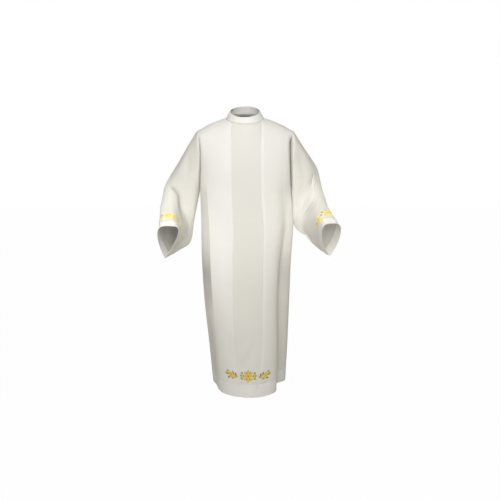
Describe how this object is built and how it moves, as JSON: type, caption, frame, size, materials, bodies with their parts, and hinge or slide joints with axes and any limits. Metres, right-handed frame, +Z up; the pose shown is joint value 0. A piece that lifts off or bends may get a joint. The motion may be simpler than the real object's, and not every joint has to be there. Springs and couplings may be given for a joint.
{
  "type": "alb robe",
  "caption": "Long white liturgical robe with box pleats from shoulder to hem, wide set-in sleeves held forward, a low stand collar and gold embroidery at hem and cuffs.",
  "frame": {"origin": "the middle of the neck base between the shoulders, where the wearer's shoulders and neck carry the robe", "axes": "+Z up along the hanging robe, -Y towards its front, +X to the right as seen from the front; the hem hangs 1.4 m below the origin"},
  "size_m": [0.9058, 0.4172, 1.4732],
  "materials": {
    "ivory_cloth": "plain woven polyester, soft matt with a faint sheen",
    "collar_cloth": "the same cloth over a stiffener, matt",
    "gold_thread": "shiny gold and yellow embroidery thread",
    "seam_thread": "ivory sewing thread"
  },
  "bodies": {
    "root": {"front": "ivory_cloth", "back": "ivory_cloth", "sleeve_left": "ivory_cloth", "sleeve_right": "ivory_cloth", "collar": "collar_cloth"}
  },
  "joints": []
}
